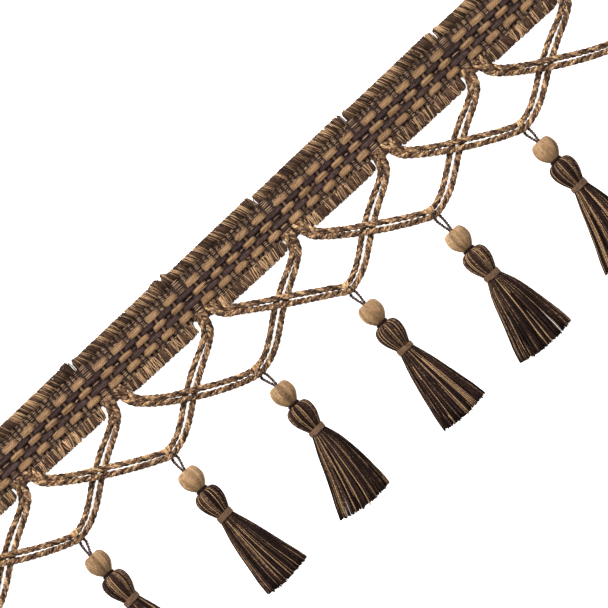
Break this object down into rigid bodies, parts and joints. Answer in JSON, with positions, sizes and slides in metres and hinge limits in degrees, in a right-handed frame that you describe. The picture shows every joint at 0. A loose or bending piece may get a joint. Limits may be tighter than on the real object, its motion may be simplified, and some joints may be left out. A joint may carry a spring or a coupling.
{
  "type": "beaded tassel fringe trim",
  "caption": "Cut length of woven fringe trim: brushed-edge heading, crossing swags of paired cord, and a beaded tassel with a wrapped neck hanging from each swag.",
  "frame": {"origin": "middle of the heading's flat back, in its length and its woven width", "axes": "+X along the heading, +Z out of its face, and the tassels hang towards -Y"},
  "size_m": [0.3852, 0.1057, 0.0098],
  "materials": {
    "heading_weave": "woven tan and dark brown yarn floats on a brown ground, brushed loop edges",
    "swag_cord": "twisted tan and brown yarn plies",
    "loop_thread": "fine dark brown twisted thread",
    "bead_thread": "satin tan thread laid lengthways over a bead",
    "neck_wrap": "light brown thread wound round the neck",
    "tassel_yarn": "dark brown yarn with scattered tan strands"
  },
  "bodies": {
    "root": {"heading": "heading_weave", "swag_1_inner": "swag_cord", "swag_1_outer": "swag_cord", "swag_2_inner": "swag_cord", "swag_2_outer": "swag_cord", "swag_3_inner": "swag_cord", "swag_3_outer": "swag_cord", "swag_4_inner": "swag_cord", "swag_4_outer": "swag_cord", "swag_5_inner": "swag_cord", "swag_5_outer": "swag_cord", "swag_6_inner": "swag_cord", "swag_6_outer": "swag_cord", "swag_7_inner": "swag_cord", "swag_7_outer": "swag_cord", "swag_8_inner": "swag_cord", "swag_8_outer": "swag_cord", "thread_1": "loop_thread", "thread_2": "loop_thread", "thread_3": "loop_thread", "thread_4": "loop_thread", "thread_5": "loop_thread", "thread_6": "loop_thread", "thread_7": "loop_thread", "thread_8": "loop_thread", "bead_1": "bead_thread", "bead_2": "bead_thread", "bead_3": "bead_thread", "bead_4": "bead_thread", "bead_5": "bead_thread", "bead_6": "bead_thread", "bead_7": "bead_thread", "bead_8": "bead_thread", "wrap_1": "neck_wrap", "wrap_2": "neck_wrap", "wrap_3": "neck_wrap", "wrap_4": "neck_wrap", "wrap_5": "neck_wrap", "wrap_6": "neck_wrap", "wrap_7": "neck_wrap", "wrap_8": "neck_wrap", "tassel_1": "tassel_yarn", "tassel_2": "tassel_yarn", "tassel_3": "tassel_yarn", "tassel_4": "tassel_yarn", "tassel_5": "tassel_yarn", "tassel_6": "tassel_yarn", "tassel_7": "tassel_yarn", "tassel_8": "tassel_yarn"}
  },
  "joints": []
}
